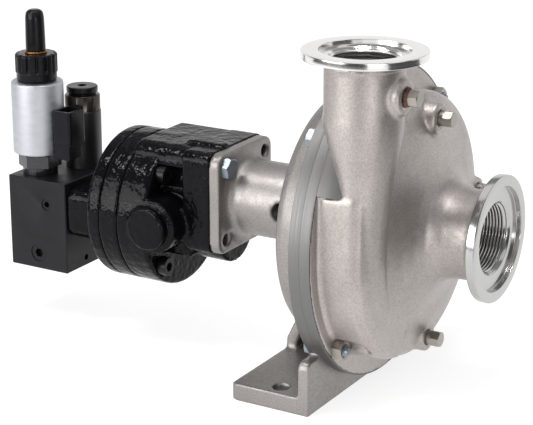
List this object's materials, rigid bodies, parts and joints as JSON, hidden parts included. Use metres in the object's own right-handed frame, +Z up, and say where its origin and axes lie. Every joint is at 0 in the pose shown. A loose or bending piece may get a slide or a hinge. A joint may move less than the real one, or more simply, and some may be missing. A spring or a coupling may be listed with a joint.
{
  "type": "centrifugal pump",
  "caption": "Close-coupled centrifugal pump: volute casing with threaded clamp-flange ports, footed bracket, hydraulic gear motor and a solenoid valve manifold.",
  "frame": {"origin": "midway between the two foot bolt holes, on the underside of the foot", "axes": "+X along the shaft towards the suction port, +Z up towards the discharge port, +Y away from the discharge side"},
  "size_m": [0.3734, 0.2149, 0.2382],
  "materials": {
    "cast_stainless": "bead-blasted casting",
    "machined_stainless": "turned",
    "fastener_steel": "plain",
    "ground_steel": "ground",
    "spring_steel": "oiled",
    "black_enamel": "gloss paint over cast iron",
    "black_block": "black oxide, oiled",
    "black_screw": "black oxide",
    "zinc_case": "brushed zinc plate",
    "black_plastic": "moulded",
    "black_rubber": "soft sheen",
    "seal_ceramic": "lapped",
    "seal_carbon": "carbon",
    "bronze": "bearing bronze",
    "boot_brass": "plain",
    "nitrile": "matt"
  },
  "bodies": {
    "pump_unit": {"volute_casing": "cast_stainless", "motor_bracket": "cast_stainless", "casing_o_ring": "nitrile", "casing_bolts": "fastener_steel", "casing_nuts": "fastener_steel", "casing_short_bolt": "fastener_steel", "motor_bolts": "fastener_steel", "seal_seat": "seal_ceramic", "bearing_outer_race": "ground_steel", "bearing_snap_ring": "spring_steel", "vent_plug": "fastener_steel", "prime_plug": "fastener_steel", "drain_plug": "fastener_steel", "gauge_plug": "fastener_steel", "motor_front_housing": "black_enamel", "motor_gear_section": "black_enamel", "motor_rear_cover": "black_enamel", "motor_front_bushings": "bronze", "motor_rear_bushings": "bronze", "motor_side_plates": "bronze", "motor_shaft_seal": "nitrile", "motor_cap_screws": "black_screw", "manifold_block": "black_block", "manifold_screws": "black_screw", "manifold_plugs": "black_screw", "valve_body": "ground_steel", "solenoid_coil": "zinc_case", "coil_connector": "black_plastic", "connector_pins": "ground_steel", "coil_nut": "black_plastic", "boot_ring": "boot_brass", "override_boot": "black_rubber", "relief_valve_body": "black_block", "relief_cap": "black_screw"},
    "rotor": {"pump_shaft": "machined_stainless", "impeller": "cast_stainless", "impeller_key": "fastener_steel", "impeller_nut": "machined_stainless", "seal_head": "seal_carbon", "seal_spring": "spring_steel", "bearing_inner_race": "ground_steel", "shaft_slinger": "nitrile", "motor_drive_gear": "ground_steel", "motor_shaft_key": "fastener_steel"},
    "ball_set": {"bearing_cage": "ground_steel"},
    "idler": {"motor_idler_gear": "ground_steel"},
    "spool": {"valve_spool": "ground_steel", "spool_spring": "spring_steel"},
    "override": {"override_pin": "ground_steel"},
    "poppet": {"relief_poppet": "ground_steel", "relief_spring": "spring_steel"}
  },
  "joints": [
    {"name": "rotor_spin", "type": "hinge", "parent": "pump_unit", "child": "rotor", "pos_m": [0.018, 0, 0.108], "axis": [1, 0, 0], "continuous": true},
    {"name": "ball_set_spin", "type": "hinge", "parent": "pump_unit", "child": "ball_set", "pos_m": [-0.056, 0, 0.108], "axis": [1, 0, 0], "continuous": true},
    {"name": "idler_spin", "type": "hinge", "parent": "pump_unit", "child": "idler", "pos_m": [-0.1543, 0, 0.072], "axis": [1, 0, 0], "continuous": true},
    {"name": "valve_shift", "type": "slide", "parent": "pump_unit", "child": "spool", "axis": [0, 0, 1], "range_m": [-0.0027, 0], "stiffness_N_per_m": 800, "springref_m": 0.003, "deforming": ["spool_spring"]},
    {"name": "override_press", "type": "slide", "parent": "pump_unit", "child": "override", "axis": [0, 0, 1], "range_m": [-0.0027, 0]},
    {"name": "relief_lift", "type": "slide", "parent": "pump_unit", "child": "poppet", "axis": [0, 0, 1], "range_m": [0, 0.002], "stiffness_N_per_m": 3000, "springref_m": -0.003, "deforming": ["relief_spring"]}
  ],
  "couplings": [
    {"joint": "ball_set_spin", "follows": "rotor_spin", "ratio": 0.39677},
    {"joint": "idler_spin", "follows": "rotor_spin", "ratio": -1},
    {"joint": "override_press", "follows": "valve_shift", "ratio": 1}
  ]
}
